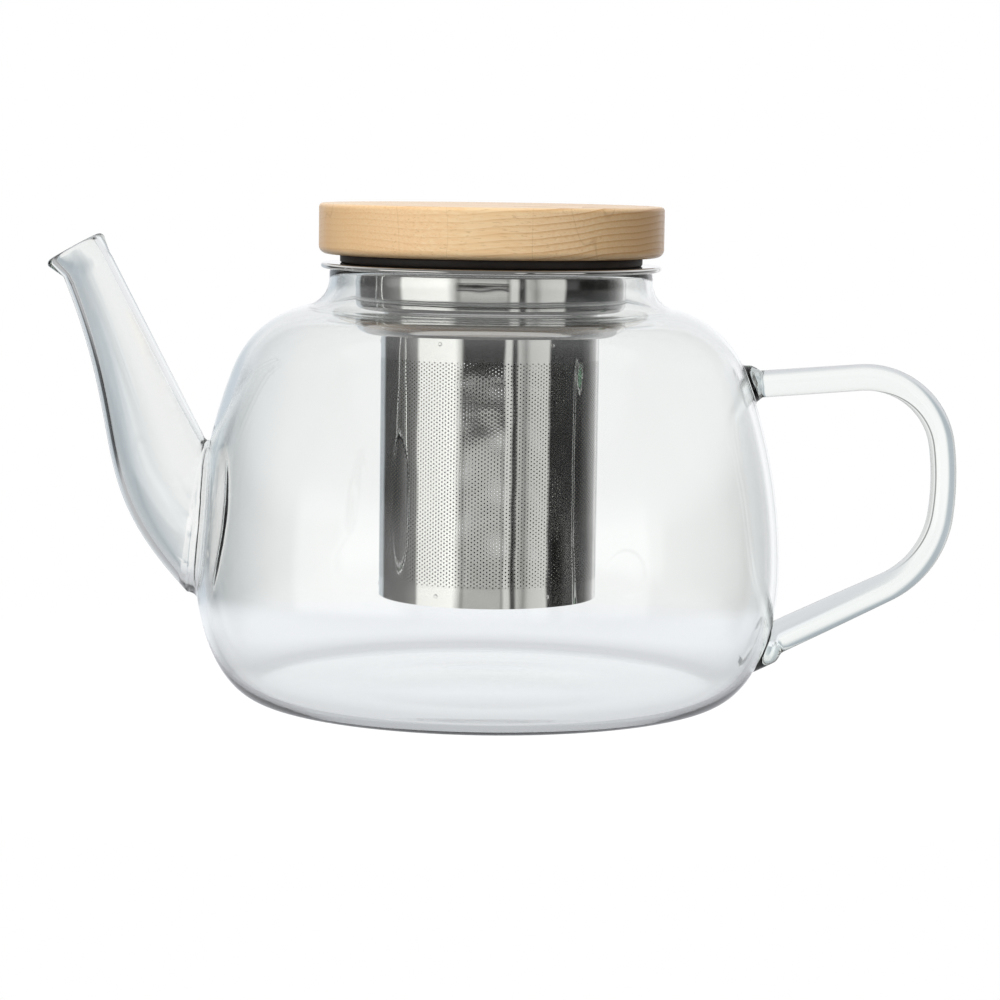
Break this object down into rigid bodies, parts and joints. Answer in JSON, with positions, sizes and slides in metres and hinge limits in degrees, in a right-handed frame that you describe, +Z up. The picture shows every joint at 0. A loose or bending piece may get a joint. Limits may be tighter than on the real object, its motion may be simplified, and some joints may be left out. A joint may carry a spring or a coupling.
{
  "type": "teapot",
  "caption": "Clear glass teapot with a slanted spout and a round loop handle, a hanging steel tea strainer and a flat beech lid with a black silicone seal",
  "frame": {"origin": "centre of the foot ring, on the surface the pot stands on and on the bowl's axis", "axes": "+Z up along the bowl's axis; the handle points along +X and the spout along -X"},
  "size_m": [0.2261, 0.1466, 0.1234],
  "materials": {
    "glass": "polished",
    "polished_steel": "polished",
    "beech": "satin",
    "silicone": "matte"
  },
  "bodies": {
    "pot": {"glass_bowl": "glass", "spout": "glass", "handle": "glass"},
    "infuser": {"infuser_collar": "polished_steel", "infuser_sleeve": "polished_steel", "infuser_base": "polished_steel"},
    "lid": {"lid_disc": "beech", "lid_seal": "silicone"}
  },
  "joints": [
    {"name": "infuser_lift", "type": "slide", "parent": "pot", "child": "infuser", "axis": [0, 0, 1], "range_m": [0, 0.12]},
    {"name": "lid_lift", "type": "slide", "parent": "infuser", "child": "lid", "axis": [0, 0, 1], "range_m": [0, 0.06]}
  ]
}
